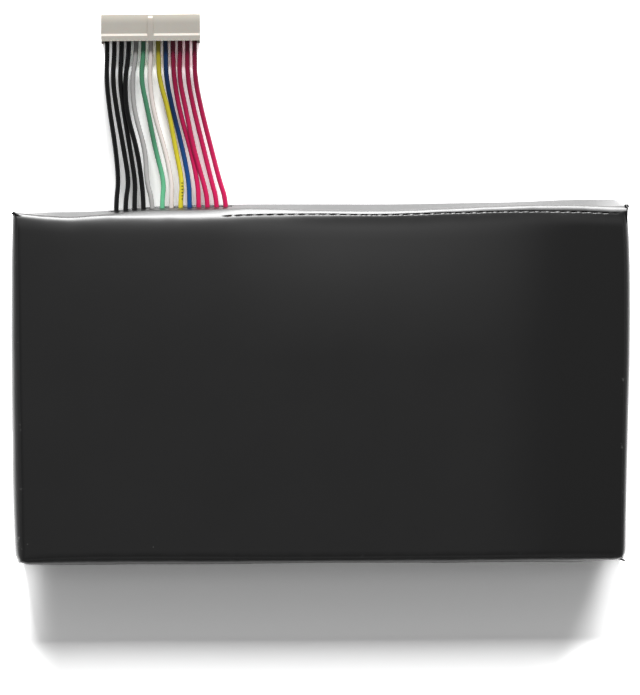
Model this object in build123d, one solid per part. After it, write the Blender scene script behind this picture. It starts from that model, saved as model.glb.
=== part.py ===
"""Film-wrapped laptop battery with a short thirteen-way lead.

Millimetres. +X runs along the long side, +Y toward the lead, +Z up through
the face; the origin is under the middle of the pack, on the back sheet.
"""
from build123d import *
from math import tan, acos
import os

os.makedirs("parts", exist_ok=True)

# Pouch cells: two columns along X in two layers
CELL_LENGTH = 82.0
CELL_WIDTH = 78.0
CELL_THICK = 6.2
POUCH_CORNER = 3.0
POUCH_EDGE = 2.0
TERRACE = 6.0
TERRACE_THICK = 0.4
TERRACE_INSET = 3.5
COLUMN_GAP = 0.6
CELL_TAPE = 0.25
TAPE_INSET = 6.0

# Cell terminals, measured from the middle of the cell
TAB_WIDTH = 8.0
TAB_LENGTH = 6.0
TAB_THICK = 0.2
TAB_OUTER = 29.0
TAB_INNER = 9.0
TAB_BEND = 0.8

# Insulating sheet folded round the cells
SHEET = 0.4
BACK_SHEET = 0.3
BACK_INSET = 2.5
FOLD_RADIUS = 1.4
LOWER_FOLD = 1.2
LIP = 7.0
CELL_FIT = 0.9
FACE_GAP = 0.25

# Perforated fold lines, and the ears at three of the corners
SLIT_LENGTH = 1.6
SLIT_WIDTH = 0.45
SLIT_PITCH = 2.86
SLIT_MARGIN = 4.0
SLIT_SETBACK = 0.05
EAR_REACH = 1.3
EAR_DROP = 3.2
EAR_ROOT = 1.0
EAR_CORNERS = ((-1, 1), (1, 1), (1, -1))

# Protection board
BOARD_WIDTH = 9.4
BOARD_FIT = 1.6
BOARD_THICK = 1.0
BOARD_GAP = 0.5
BOARD_END = 1.5
BOARD_CORNER = 1.0
CHIP_SIDE = 5.0
CHIP_HEIGHT = 0.9
SWITCH_LENGTH = 4.4
SWITCH_WIDTH = 5.0
SWITCH_HEIGHT = 1.0
SWITCH_SPACING = 5.2
SHUNT_LENGTH = 6.4
SHUNT_WIDTH = 3.2
SHUNT_HEIGHT = 0.7
FUSE_LENGTH = 7.0
FUSE_WIDTH = 4.0
FUSE_HEIGHT = 1.3
CAPACITOR_LENGTH = 2.0
CAPACITOR_WIDTH = 1.25
CAPACITOR_HEIGHT = 0.85
CAPACITOR_SPACING = 2.6
CAPACITOR_COUNT = 5
FOAM_GAP = 0.1
FOAM_SLACK = 1.2
FOAM_END = 2.0
FOAM_SIDE = 1.0

# Lead: thirteen wires soldered under the board
WAYS = 13
WIRE_OD = 1.25
EXIT_FROM_END = 43.0
EXIT_PITCH = 2.53
BOARD_CLEARANCE = 0.1
JOINT_LENGTH = 2.2
JOINT_WIDTH = 1.9
JOINT_HEIGHT = 0.95
JOINT_INSET = 3.4
JOINT_TAPE = 0.12
JOINT_TAPE_GAP = 0.05
JOINT_TAPE_GRIP = 2.2
JOINT_TAPE_MARGIN = 2.0
SLOT_MARGIN = 0.9
SLOT_HEIGHT = 2.3

# Plug
PLUG_SHIFT = -5.15
PLUG_PITCH = 2.0
PLUG_DEPTH = 7.2
PLUG_HEIGHT = 4.0
PLUG_END_WALL = 0.7
FLANGE_RISE = 0.6
FLANGE_DEPTH = 1.4
KEY_REAR_WIDTH = 1.8
KEY_FRONT_WIDTH = 1.2
KEY_SETBACK = 0.4
CHEEK_DEPTH = 0.8
CHEEK_WIDTH = 0.7
CAVITY_WIDTH = 1.6
CAVITY_HEIGHT = 1.9
CAVITY_FLOOR = 1.15
PIN_OPENING = 0.9
FRONT_WALL = 0.9
WINDOW_WIDTH = 0.9
WINDOW_LENGTH = 1.7
CABLE_REACH = 45.4

# Crimp terminals
CONTACT_WIDTH = 1.4
CONTACT_HEIGHT = 1.7
CONTACT_LENGTH = 3.4
CONTACT_WALL = 0.25
BARREL_WALL = 0.1
BARREL_CLEARANCE = 0.02
BARREL_LENGTH = 1.8

# Heights, from the back sheet upward
LIP_TOP = BACK_SHEET + SHEET
LOWER_TOP = LIP_TOP + CELL_THICK
UPPER_BOTTOM = LOWER_TOP + CELL_TAPE
FACE_BOTTOM = UPPER_BOTTOM + CELL_THICK + FACE_GAP
PACK_HEIGHT = FACE_BOTTOM + SHEET
BOARD_TOP = LOWER_TOP - TERRACE_THICK / 2 - TAB_THICK / 2
BOARD_BOTTOM = BOARD_TOP - BOARD_THICK
WIRE_Z = BOARD_BOTTOM - BOARD_CLEARANCE - WIRE_OD / 2

# Plan: half sizes of the sheet's outside at its corners, then the rows in Y
INNER_X = CELL_LENGTH + COLUMN_GAP / 2 + CELL_FIT
INNER_Y = (CELL_WIDTH + TERRACE + BOARD_GAP + BOARD_WIDTH + BOARD_FIT) / 2 + CELL_FIT
WRAP_X = INNER_X + SHEET
WRAP_Y = INNER_Y + SHEET
CELL_X = (CELL_LENGTH + COLUMN_GAP) / 2
CELL_Y = -INNER_Y + CELL_FIT + CELL_WIDTH / 2
TERRACE_END = CELL_Y + CELL_WIDTH / 2 + TERRACE
BOARD_START = TERRACE_END + BOARD_GAP
BOARD_STOP = BOARD_START + BOARD_WIDTH
BOARD_HALF = INNER_X - BOARD_END
FAR_WALL = WRAP_Y
JOINT_START = BOARD_START + JOINT_INSET
WIRE_START = JOINT_START + JOINT_LENGTH
EXIT_HALF = EXIT_PITCH * (WAYS - 1) / 2
EXIT_MIDDLE = EXIT_FROM_END - WRAP_X
PLUG_MIDDLE = EXIT_MIDDLE + PLUG_SHIFT
PLUG_REAR = FAR_WALL + CABLE_REACH
PLUG_FRONT = PLUG_REAR + PLUG_DEPTH
PLUG_HALF = PLUG_PITCH * (WAYS - 1) / 2 + CAVITY_WIDTH / 2 + PLUG_END_WALL
PLUG_TOP = PLUG_HEIGHT + FLANGE_RISE
PLUG_AXIS = CAVITY_FLOOR + CAVITY_HEIGHT / 2
CONTACT_REAR = PLUG_FRONT - FRONT_WALL - CONTACT_LENGTH


def slab(x0, x1, y0, y1, z0, z1):
    """A box between two corners."""
    return Pos((x0 + x1) / 2, (y0 + y1) / 2, (z0 + z1) / 2) * Box(x1 - x0, y1 - y0, z1 - z0)


def folded(half_x, half_y, z0, z1, top_radius, low_radius):
    """A block with its top and bottom edges rolled over and its corners left sharp."""
    block = slab(-half_x, half_x, -half_y, half_y, z0, z1)
    block = fillet(block.edges().group_by(Axis.Z)[-1], top_radius)
    return fillet(block.edges().group_by(Axis.Z)[0], low_radius)


def slits():
    """The dashed cuts along the two long folds of the face."""
    line = WRAP_Y - FOLD_RADIUS - SLIT_WIDTH / 2 - SLIT_SETBACK
    count = int(2 * (WRAP_X - SLIT_MARGIN) / SLIT_PITCH) + 1
    first = -SLIT_PITCH * (count - 1) / 2
    cuts = []
    for i in range(count):
        for side in (-1, 1):
            cuts.append(Pos(first + SLIT_PITCH * i, side * line, FACE_BOTTOM) * Box(SLIT_LENGTH, SLIT_WIDTH, 4 * SHEET))
    return cuts


def ear(side_x, side_y):
    """The pinched film at one corner: a thin upright fin on the diagonal."""
    with_root = [
        (-EAR_ROOT, PACK_HEIGHT - FOLD_RADIUS * 0.45), (EAR_REACH, PACK_HEIGHT - FOLD_RADIUS * 0.55),
        (EAR_REACH * 0.55, PACK_HEIGHT - EAR_DROP * 0.55), (-0.05, PACK_HEIGHT - EAR_DROP),
        (-EAR_ROOT, PACK_HEIGHT - EAR_DROP),
    ]
    fin = extrude(Plane.XZ * make_face(Polyline(*with_root, close=True)), SHEET / 2, both=True)
    turn = {(1, 1): 45, (-1, 1): 135, (1, -1): 315}[(side_x, side_y)]
    return Pos(side_x * WRAP_X, side_y * WRAP_Y, 0) * Rot(0, 0, turn) * fin


def film_wrap():
    outer = folded(WRAP_X, WRAP_Y, BACK_SHEET, PACK_HEIGHT, FOLD_RADIUS, LOWER_FOLD)
    inner = folded(INNER_X, INNER_Y, LIP_TOP, FACE_BOTTOM, FOLD_RADIUS - SHEET, LOWER_FOLD - SHEET)
    for side_x, side_y in EAR_CORNERS:
        outer += ear(side_x, side_y)
    opening = slab(LIP - WRAP_X, WRAP_X - LIP, LIP - WRAP_Y, WRAP_Y - LIP, 0, LIP_TOP + SHEET)
    slot = slab(EXIT_MIDDLE - EXIT_HALF - WIRE_OD / 2 - SLOT_MARGIN,
                EXIT_MIDDLE + EXIT_HALF + WIRE_OD / 2 + SLOT_MARGIN,
                INNER_Y - 1, FAR_WALL + 1, WIRE_Z - SLOT_HEIGHT / 2, WIRE_Z + SLOT_HEIGHT / 2)
    return outer - inner - [opening, slot] - slits()


def back_sheet():
    half_x = WRAP_X - BACK_INSET
    half_y = WRAP_Y - BACK_INSET
    return extrude(RectangleRounded(2 * half_x, 2 * half_y, BACK_INSET), BACK_SHEET)


def pouch_cell():
    """One sealed pouch, its flat side and tab terrace upward."""
    body = extrude(RectangleRounded(CELL_LENGTH, CELL_WIDTH, POUCH_CORNER), CELL_THICK)
    body = fillet(body.edges().group_by(Axis.Z)[0], POUCH_EDGE)
    terrace = slab(TERRACE_INSET - CELL_LENGTH / 2, CELL_LENGTH / 2 - TERRACE_INSET,
                   CELL_WIDTH / 2 - 1, CELL_WIDTH / 2 + TERRACE, CELL_THICK - TERRACE_THICK, CELL_THICK)
    return body + terrace


def cell_places():
    """Name and place of each cell; the upper layer is turned flat side down."""
    places = []
    for name, x in (("left", -CELL_X), ("right", CELL_X)):
        places.append((f"cell_lower_{name}", Pos(x, CELL_Y, LIP_TOP)))
        places.append((f"cell_upper_{name}", Pos(x, CELL_Y, UPPER_BOTTOM + CELL_THICK) * Rot(0, 180, 0)))
    return places


def tabs(offset):
    """The tabs at one offset: flat on the board from below, stepped down from above."""
    made = []
    low = BOARD_TOP
    high = UPPER_BOTTOM + TERRACE_THICK / 2 - TAB_THICK / 2
    stop = TERRACE_END + TAB_LENGTH
    for x in (-CELL_X, CELL_X):
        left = x - offset - TAB_WIDTH / 2
        made.append(slab(left, left + TAB_WIDTH, TERRACE_END, stop, low, low + TAB_THICK))
        bend = TERRACE_END + TAB_BEND
        ramp = bend + (high - low) * 1.6
        side = [(TERRACE_END, high), (bend, high), (ramp, low), (stop, low), (stop, low + TAB_THICK),
                (ramp + TAB_THICK / 2, low + TAB_THICK), (bend + TAB_THICK / 2, high + TAB_THICK),
                (TERRACE_END, high + TAB_THICK)]
        strip = extrude(Plane.YZ * make_face(Polyline(*side, close=True)), TAB_WIDTH)
        made.append(Pos(x + offset - TAB_WIDTH / 2, 0, 0) * strip)
    return made


def cell_tapes():
    made = []
    for x in (-CELL_X, CELL_X):
        half_x = CELL_LENGTH / 2 - TAPE_INSET
        half_y = CELL_WIDTH / 2 - TAPE_INSET
        made.append(slab(x - half_x, x + half_x, CELL_Y - half_y, CELL_Y + half_y, LOWER_TOP, UPPER_BOTTOM))
    return made


def protection_board():
    outline = RectangleRounded(2 * BOARD_HALF, BOARD_WIDTH, BOARD_CORNER)
    return Pos(0, (BOARD_START + BOARD_STOP) / 2, BOARD_BOTTOM) * extrude(outline, BOARD_THICK)


def on_board(x, length, width, height):
    """A block soldered on the top of the board, behind the tabs' row."""
    y = BOARD_STOP - 1.0 - width / 2
    return slab(x - length / 2, x + length / 2, y - width / 2, y + width / 2, BOARD_TOP, BOARD_TOP + height)


def board_parts():
    clear = (TAB_OUTER + TAB_INNER) / 2
    switch_x = -CELL_X + clear
    parts = {
        "gauge_chip": [chamfer(on_board(0, CHIP_SIDE, CHIP_SIDE, CHIP_HEIGHT).faces().sort_by(Axis.Z)[-1].edges(), 0.12)],
        "switch_transistors": [on_board(switch_x + side * SWITCH_SPACING / 2, SWITCH_LENGTH, SWITCH_WIDTH, SWITCH_HEIGHT)
                               for side in (-1, 1)],
        "current_shunt": [on_board(-CELL_X - clear, SHUNT_LENGTH, SHUNT_WIDTH, SHUNT_HEIGHT)],
        "cell_fuse": [on_board(CELL_X - clear, FUSE_LENGTH, FUSE_WIDTH, FUSE_HEIGHT)],
        "chip_capacitors": [],
    }
    first = CELL_X + clear - CAPACITOR_SPACING * (CAPACITOR_COUNT - 1) / 2
    for i in range(CAPACITOR_COUNT):
        parts["chip_capacitors"].append(
            on_board(first + CAPACITOR_SPACING * i, CAPACITOR_WIDTH, CAPACITOR_LENGTH, CAPACITOR_HEIGHT))
    return parts


def foam_strips():
    """Soft strips that hold the board: two under it beside the lead, one over it."""
    tallest = max(CHIP_HEIGHT, SWITCH_HEIGHT, SHUNT_HEIGHT, FUSE_HEIGHT, CAPACITOR_HEIGHT,
                  UPPER_BOTTOM + TERRACE_THICK - BOARD_TOP)
    y0 = BOARD_START + FOAM_SIDE
    y1 = BOARD_STOP - FOAM_SIDE
    lead_left = EXIT_MIDDLE - EXIT_HALF - WIRE_OD / 2 - JOINT_TAPE_MARGIN - FOAM_END
    lead_right = EXIT_MIDDLE + EXIT_HALF + WIRE_OD / 2 + JOINT_TAPE_MARGIN + FOAM_END
    ends = BOARD_HALF - FOAM_END
    return {
        "foam_under_left": slab(-ends, lead_left, y0, y1, LIP_TOP, BOARD_BOTTOM),
        "foam_under_right": slab(lead_right, ends, y0, y1, LIP_TOP, BOARD_BOTTOM),
        "foam_over": slab(-ends, ends, y0, y1, BOARD_TOP + tallest + FOAM_GAP,
                          FACE_BOTTOM - FOAM_SLACK),
    }


def exit_x(i):
    return EXIT_MIDDLE - EXIT_HALF + EXIT_PITCH * i


def pin_x(i):
    return PLUG_MIDDLE + PLUG_PITCH * (i - (WAYS - 1) / 2)


def solder_joints():
    """A drop of solder for each wire, against the board's underside and the wire's end."""
    low = BOARD_BOTTOM - JOINT_HEIGHT
    section = [(-JOINT_WIDTH / 2, BOARD_BOTTOM), (JOINT_WIDTH / 2, BOARD_BOTTOM),
               (JOINT_WIDTH / 4, low), (-JOINT_WIDTH / 4, low)]
    drop = extrude(Plane.XZ * make_face(Polyline(*section, close=True)), -JOINT_LENGTH)
    return [Pos(exit_x(i), JOINT_START, 0) * drop for i in range(WAYS)]


def joint_tape():
    """Tape from the board's underside, stepped down and under the wires."""
    low = WIRE_Z - WIRE_OD / 2 - JOINT_TAPE_GAP - JOINT_TAPE
    high = BOARD_BOTTOM - JOINT_TAPE
    start = JOINT_START - JOINT_TAPE_GRIP - 1.0
    side = [(start, high), (start + JOINT_TAPE_GRIP, high), (JOINT_START, low), (BOARD_STOP, low),
            (BOARD_STOP, low + JOINT_TAPE), (JOINT_START + 0.05, low + JOINT_TAPE),
            (start + JOINT_TAPE_GRIP + 0.05, BOARD_BOTTOM), (start, BOARD_BOTTOM)]
    half = EXIT_HALF + WIRE_OD / 2 + JOINT_TAPE_MARGIN
    strip = extrude(Plane.YZ * make_face(Polyline(*side, close=True)), 2 * half)
    return Pos(EXIT_MIDDLE - half, 0, 0) * strip


# Each wire's free points at FREE_STEPS beyond the far wall: its drift in X from where it
# leaves, and its height. It leaves its joint straight through the slot, and runs straight
# into its contact.
EXIT_STEP = 3.5
FREE_STEPS = (14.5, 26.0)
ENTRY_STEP = 38.0
LEADS = {
    "wire_black_1": ((1.1, 3.5), (-1.9, 2.6)),
    "wire_black_2": ((0.9, 3.5), (-2.6, 2.6)),
    "wire_black_3": ((-0.4, 3.2), (-3.2, 2.2)),
    "wire_black_4": ((-1.2, 4.2), (-5.0, 3.3)),
    "wire_grey": ((-2.2, 3.5), (-5.4, 2.7)),
    "wire_green": ((-0.7, 3.6), (-4.4, 2.7)),
    "wire_white": ((-0.8, 3.4), (-5.3, 2.5)),
    "wire_yellow": ((-0.4, 3.6), (-3.4, 2.8)),
    "wire_blue": ((-1.4, 3.4), (-4.4, 2.5)),
    "wire_red_1": ((-1.7, 3.0), (-5.4, 2.3)),
    "wire_red_2": ((-3.7, 4.2), (-5.9, 3.1)),
    "wire_red_3": ((-3.7, 3.4), (-6.2, 2.5)),
    "wire_red_4": ((-3.4, 3.5), (-6.6, 2.6)),
}


def wire(i, name):
    points = [Vector(exit_x(i), WIRE_START, WIRE_Z), Vector(exit_x(i), FAR_WALL + EXIT_STEP, WIRE_Z)]
    for step, (drift, z) in zip(FREE_STEPS, LEADS[name]):
        points.append(Vector(exit_x(i) + drift, FAR_WALL + step, z))
    points.append(Vector(pin_x(i), FAR_WALL + ENTRY_STEP, PLUG_AXIS))
    points.append(Vector(pin_x(i), CONTACT_REAR, PLUG_AXIS))
    radii = []
    for a, b, c in zip(points, points[1:], points[2:]):
        turn = acos(max(-1, min(1, (b - a).normalized().dot((c - b).normalized()))))
        radii.append(0.45 * min((b - a).length, (c - b).length) / tan(turn / 2))
    path = FilletPolyline(*points, radius=radii)
    tube = sweep(Plane(path @ 0, z_dir=path % 0) * Circle(WIRE_OD / 2), path)
    section = 3.14159265 * (WIRE_OD / 2) ** 2
    print(name, "radii", [round(r) for r in radii], "length", round(path.length, 2),
          "volume ratio", round(tube.volume / (section * path.length), 4))
    return tube


def connector_housing():
    x0 = PLUG_MIDDLE - PLUG_HALF
    x1 = PLUG_MIDDLE + PLUG_HALF
    ramp_front = PLUG_REAR + FLANGE_DEPTH + FLANGE_RISE
    side = [(PLUG_REAR, 0), (PLUG_FRONT, 0), (PLUG_FRONT, PLUG_HEIGHT), (ramp_front, PLUG_HEIGHT),
            (PLUG_REAR + FLANGE_DEPTH, PLUG_TOP), (PLUG_REAR, PLUG_TOP)]
    housing = Pos(x0, 0, 0) * extrude(Plane.YZ * make_face(Polyline(*side, close=True)), x1 - x0)
    key_front = PLUG_FRONT - KEY_SETBACK
    key_rear = PLUG_REAR + FLANGE_DEPTH / 2
    plan = [(-KEY_REAR_WIDTH / 2, key_rear), (KEY_REAR_WIDTH / 2, key_rear),
            (KEY_FRONT_WIDTH / 2, key_front), (-KEY_FRONT_WIDTH / 2, key_front)]
    key = Pos(PLUG_MIDDLE, 0, PLUG_HEIGHT) * extrude(make_face(Polyline(*plan, close=True)), FLANGE_RISE)
    housing += chamfer(key.edges().group_by(Axis.Z)[-1].sort_by(Axis.Y)[-1], FLANGE_RISE * 0.98)
    for left in (x0, x1 - CHEEK_WIDTH):
        housing += slab(left, left + CHEEK_WIDTH, PLUG_REAR - CHEEK_DEPTH, PLUG_REAR, 0, PLUG_HEIGHT)
    cuts = []
    for i in range(WAYS):
        x = pin_x(i)
        cuts.append(slab(x - CAVITY_WIDTH / 2, x + CAVITY_WIDTH / 2, PLUG_REAR - 0.5, PLUG_FRONT - FRONT_WALL,
                         CAVITY_FLOOR, CAVITY_FLOOR + CAVITY_HEIGHT))
        cuts.append(slab(x - PIN_OPENING / 2, x + PIN_OPENING / 2, PLUG_FRONT - FRONT_WALL - 0.5, PLUG_FRONT + 0.5,
                         PLUG_AXIS - PIN_OPENING / 2, PLUG_AXIS + PIN_OPENING / 2))
        cuts.append(slab(x - WINDOW_WIDTH / 2, x + WINDOW_WIDTH / 2, CONTACT_REAR + CONTACT_WALL,
                         CONTACT_REAR + CONTACT_WALL + WINDOW_LENGTH, -0.5, CAVITY_FLOOR + 0.1))
    return housing - cuts


def crimp_terminals():
    """Folded box contacts on the cavity floors, each with a barrel under its wire."""
    made = []
    bore = WIRE_OD / 2 + BARREL_CLEARANCE
    for i in range(WAYS):
        x = pin_x(i)
        stop = CONTACT_REAR + CONTACT_LENGTH
        box = slab(x - CONTACT_WIDTH / 2, x + CONTACT_WIDTH / 2, CONTACT_REAR, stop,
                   CAVITY_FLOOR, CAVITY_FLOOR + CONTACT_HEIGHT)
        hollow = slab(x - CONTACT_WIDTH / 2 + CONTACT_WALL, x + CONTACT_WIDTH / 2 - CONTACT_WALL,
                      CONTACT_REAR + CONTACT_WALL, stop + 1,
                      CAVITY_FLOOR + CONTACT_WALL, CAVITY_FLOOR + CONTACT_HEIGHT - CONTACT_WALL)
        wing = bore + BARREL_WALL
        barrel = slab(x - wing, x + wing, CONTACT_REAR - BARREL_LENGTH, CONTACT_REAR, PLUG_AXIS - wing, PLUG_AXIS)
        barrel -= slab(x - bore, x + bore, CONTACT_REAR - BARREL_LENGTH - 1, CONTACT_REAR, PLUG_AXIS - bore, PLUG_AXIS + 1)
        made.append(box - hollow + barrel)
    return made


def save(name, shape):
    pieces = shape if isinstance(shape, list) else [shape]
    solids = [solid for piece in pieces for solid in piece.solids()]
    whole = solids[0] if len(solids) == 1 else Compound(children=solids)
    export_step(whole, f"parts/{name}.step")
    print(name, len(solids), "solid", round(sum(solid.volume for solid in solids), 1), "mm3")


save("film_wrap", film_wrap())
save("back_sheet", back_sheet())
cell = pouch_cell()
for name, place in cell_places():
    save(name, place * cell)
save("cell_tapes", cell_tapes())
save("positive_tabs", tabs(TAB_OUTER))
save("negative_tabs", tabs(TAB_INNER))
save("protection_board", protection_board())
for name, shape in board_parts().items():
    save(name, shape)
for name, shape in foam_strips().items():
    save(name, shape)
save("solder_joints", solder_joints())
save("joint_tape", joint_tape())
for i, name in enumerate(LEADS):
    save(name, wire(i, name))
save("connector_housing", connector_housing())
save("crimp_terminals", crimp_terminals())
print("pack", round(2 * WRAP_X, 2), round(2 * FAR_WALL, 2), round(PACK_HEIGHT, 2))
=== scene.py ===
"""A film-wrapped laptop battery with a short thirteen-way lead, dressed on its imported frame.

Metres. +X runs along the long side, +Y toward the lead, +Z up through the face.
"""

import math

import bmesh
import bpy
import numpy as np
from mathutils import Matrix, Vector, noise


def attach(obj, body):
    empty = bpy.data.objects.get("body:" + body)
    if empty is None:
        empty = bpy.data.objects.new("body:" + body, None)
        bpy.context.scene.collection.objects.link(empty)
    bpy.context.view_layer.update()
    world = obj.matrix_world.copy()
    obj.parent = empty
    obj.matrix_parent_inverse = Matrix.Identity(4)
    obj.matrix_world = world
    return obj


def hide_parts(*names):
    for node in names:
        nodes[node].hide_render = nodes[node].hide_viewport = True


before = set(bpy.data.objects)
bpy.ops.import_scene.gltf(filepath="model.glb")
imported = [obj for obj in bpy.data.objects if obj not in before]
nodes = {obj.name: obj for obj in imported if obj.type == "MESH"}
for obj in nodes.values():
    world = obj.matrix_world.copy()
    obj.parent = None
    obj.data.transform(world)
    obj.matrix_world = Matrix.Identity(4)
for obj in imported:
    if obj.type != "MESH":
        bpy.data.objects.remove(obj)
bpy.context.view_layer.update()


# Pouch cells. Four sealed bags of aluminium laminate, cold-formed over the stack inside, with
# a dull silver skin. They lie in two layers and the wrap hides them.

def build_grain():
    """A shader group for a fine uneven finish: two tones, an uneven gloss and a slight relief."""
    group = bpy.data.node_groups.new("fine_grain", "ShaderNodeTree")
    for name, kind, value in (("Color", "NodeSocketColor", (0.5, 0.5, 0.5, 1)),
                              ("Second Color", "NodeSocketColor", (0.4, 0.4, 0.4, 1)),
                              ("Scale", "NodeSocketFloat", 800.0),
                              ("Roughness", "NodeSocketFloat", 0.4),
                              ("Roughness Spread", "NodeSocketFloat", 0.1),
                              ("Relief", "NodeSocketFloat", 0.1)):
        group.interface.new_socket(name, in_out="INPUT", socket_type=kind).default_value = value
    for name, kind in (("Color", "NodeSocketColor"), ("Roughness", "NodeSocketFloat"),
                       ("Normal", "NodeSocketVector")):
        group.interface.new_socket(name, in_out="OUTPUT", socket_type=kind)
    add, join = group.nodes.new, group.links.new
    given, given_out = add("NodeGroupInput"), add("NodeGroupOutput")
    place = add("ShaderNodeTexCoord")
    broad = add("ShaderNodeTexNoise")
    broad.inputs["Detail"].default_value = 4
    join(place.outputs["Object"], broad.inputs["Vector"])
    join(given.outputs["Scale"], broad.inputs["Scale"])
    tone = add("ShaderNodeMix")
    tone.data_type = "RGBA"
    join(broad.outputs["Fac"], tone.inputs["Factor"])
    join(given.outputs["Color"], tone.inputs["A"])
    join(given.outputs["Second Color"], tone.inputs["B"])
    join(tone.outputs["Result"], given_out.inputs["Color"])
    centred = add("ShaderNodeMath")
    centred.operation = "SUBTRACT"
    centred.inputs[1].default_value = 0.5
    join(broad.outputs["Fac"], centred.inputs[0])
    gloss = add("ShaderNodeMath")
    gloss.operation = "MULTIPLY_ADD"
    join(centred.outputs[0], gloss.inputs[0])
    join(given.outputs["Roughness Spread"], gloss.inputs[1])
    join(given.outputs["Roughness"], gloss.inputs[2])
    join(gloss.outputs[0], given_out.inputs["Roughness"])
    finer = add("ShaderNodeMath")
    finer.operation = "MULTIPLY"
    finer.inputs[1].default_value = 4.3
    join(given.outputs["Scale"], finer.inputs[0])
    fine = add("ShaderNodeTexNoise")
    fine.inputs["Detail"].default_value = 2
    join(place.outputs["Object"], fine.inputs["Vector"])
    join(finer.outputs[0], fine.inputs["Scale"])
    relief = add("ShaderNodeBump")
    relief.inputs["Distance"].default_value = 0.0001
    join(given.outputs["Relief"], relief.inputs["Strength"])
    join(fine.outputs["Fac"], relief.inputs["Height"])
    join(relief.outputs["Normal"], given_out.inputs["Normal"])
    return group


grain = build_grain()


def finish_with_grain(name, color, second, scale, roughness, spread, relief, **sockets):
    """A material with that grain; further Principled sockets are given by name."""
    material = bpy.data.materials.new(name)
    material.use_nodes = True
    tree = material.node_tree
    shader = tree.nodes["Principled BSDF"]
    skin = tree.nodes.new("ShaderNodeGroup")
    skin.node_tree = grain
    for socket, value in (("Color", (*color, 1)), ("Second Color", (*second, 1)), ("Scale", scale),
                          ("Roughness", roughness), ("Roughness Spread", spread), ("Relief", relief)):
        skin.inputs[socket].default_value = value
    tree.links.new(skin.outputs["Color"], shader.inputs["Base Color"])
    tree.links.new(skin.outputs["Roughness"], shader.inputs["Roughness"])
    tree.links.new(skin.outputs["Normal"], shader.inputs["Normal"])
    for socket, value in sockets.items():
        shader.inputs[socket.replace("_", " ")].default_value = value
    return material


def dress(node, material):
    """Puts a material on a CAD node."""
    for held in nodes[node].material_slots:
        held.material = material


pouch_foil = finish_with_grain("pouch_foil", (0.62, 0.63, 0.65), (0.52, 0.53, 0.56),
                               180, 0.34, 0.16, 0.25, Metallic=0.9)
for cell in ("cell_lower_left", "cell_lower_right", "cell_upper_left", "cell_upper_right"):
    dress(cell, pouch_foil)


# Tape between the cell layers. A thin clear double-sided film, pressed on.
clear_film = finish_with_grain("clear_film", (0.75, 0.74, 0.70), (0.68, 0.66, 0.60), 120, 0.22, 0.1, 0.1)
dress("cell_tapes", clear_film)


# Cell tabs. Soft aluminium strips on the positive side and nickel-plated ones on the negative
# side, rolled, and welded flat to the board.
rolled_aluminium = finish_with_grain("rolled_aluminium", (0.80, 0.80, 0.81), (0.70, 0.70, 0.72),
                                     400, 0.3, 0.14, 0.2, Metallic=1.0)
rolled_nickel = finish_with_grain("rolled_nickel", (0.66, 0.63, 0.58), (0.56, 0.53, 0.48),
                                  400, 0.28, 0.14, 0.2, Metallic=1.0)
dress("positive_tabs", rolled_aluminium)
dress("negative_tabs", rolled_nickel)


# Protection board and its parts. Glass-epoxy board under green solder mask, moulded black
# packages, tan ceramic capacitors, and the solder that holds the lead.
solder_mask = finish_with_grain("solder_mask", (0.03, 0.16, 0.07), (0.02, 0.11, 0.05), 900, 0.32, 0.12, 0.2)
moulded_package = finish_with_grain("moulded_package", (0.032, 0.032, 0.034), (0.022, 0.022, 0.024),
                                    2500, 0.55, 0.1, 0.4)
tan_ceramic = finish_with_grain("tan_ceramic", (0.45, 0.36, 0.26), (0.36, 0.28, 0.20), 1500, 0.5, 0.1, 0.3)
dull_solder = finish_with_grain("dull_solder", (0.72, 0.72, 0.72), (0.6, 0.6, 0.6), 1200, 0.3, 0.2, 0.3,
                                Metallic=1.0)
dress("protection_board", solder_mask)
for package in ("gauge_chip", "switch_transistors", "current_shunt", "cell_fuse"):
    dress(package, moulded_package)
dress("chip_capacitors", tan_ceramic)
dress("solder_joints", dull_solder)


# Foam strips and the tape over the joints. Closed-cell foam keeps the board from moving, and
# an amber tape covers the soldered wire ends.
closed_foam = finish_with_grain("closed_foam", (0.07, 0.07, 0.075), (0.04, 0.04, 0.045), 1400, 0.85, 0.1, 0.8)
amber_film = finish_with_grain("amber_film", (0.62, 0.27, 0.03), (0.52, 0.20, 0.02), 300, 0.25, 0.1, 0.1)
for strip in ("foam_under_left", "foam_under_right", "foam_over"):
    dress(strip, closed_foam)
dress("joint_tape", amber_film)


# Film wrap. One sheet of satin black film, folded round the cells along dashed cuts and glued
# back under the pack. Toward the lead it is slack, rolls over softly, and its corners stand
# out as small pinched ears.
half_x, half_y, top, foot = 0.0836, 0.04905, 0.0140, 0.0003
sheet, fold, lower_fold, lip = 0.0004, 0.0014, 0.0012, 0.0070
slit_pitch, slit_length, far_slit, near_slit, slit_shift = 0.00286, 0.0016, 0.0003, 0.00012, -0.0005
slot_x, slot_z = (-0.0573, -0.0239), (0.003725, 0.006025)


def lines_between(fixed, step):
    """Sorted grid lines through the fixed places, no further apart than the step."""
    fixed = sorted(set(round(v, 7) for v in fixed))
    lines = [fixed[0]]
    for a, b in zip(fixed, fixed[1:]):
        parts = max(1, math.ceil((b - a) / step))
        lines += [a + (b - a) * (k + 1) / parts for k in range(parts)]
    return lines


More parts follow.
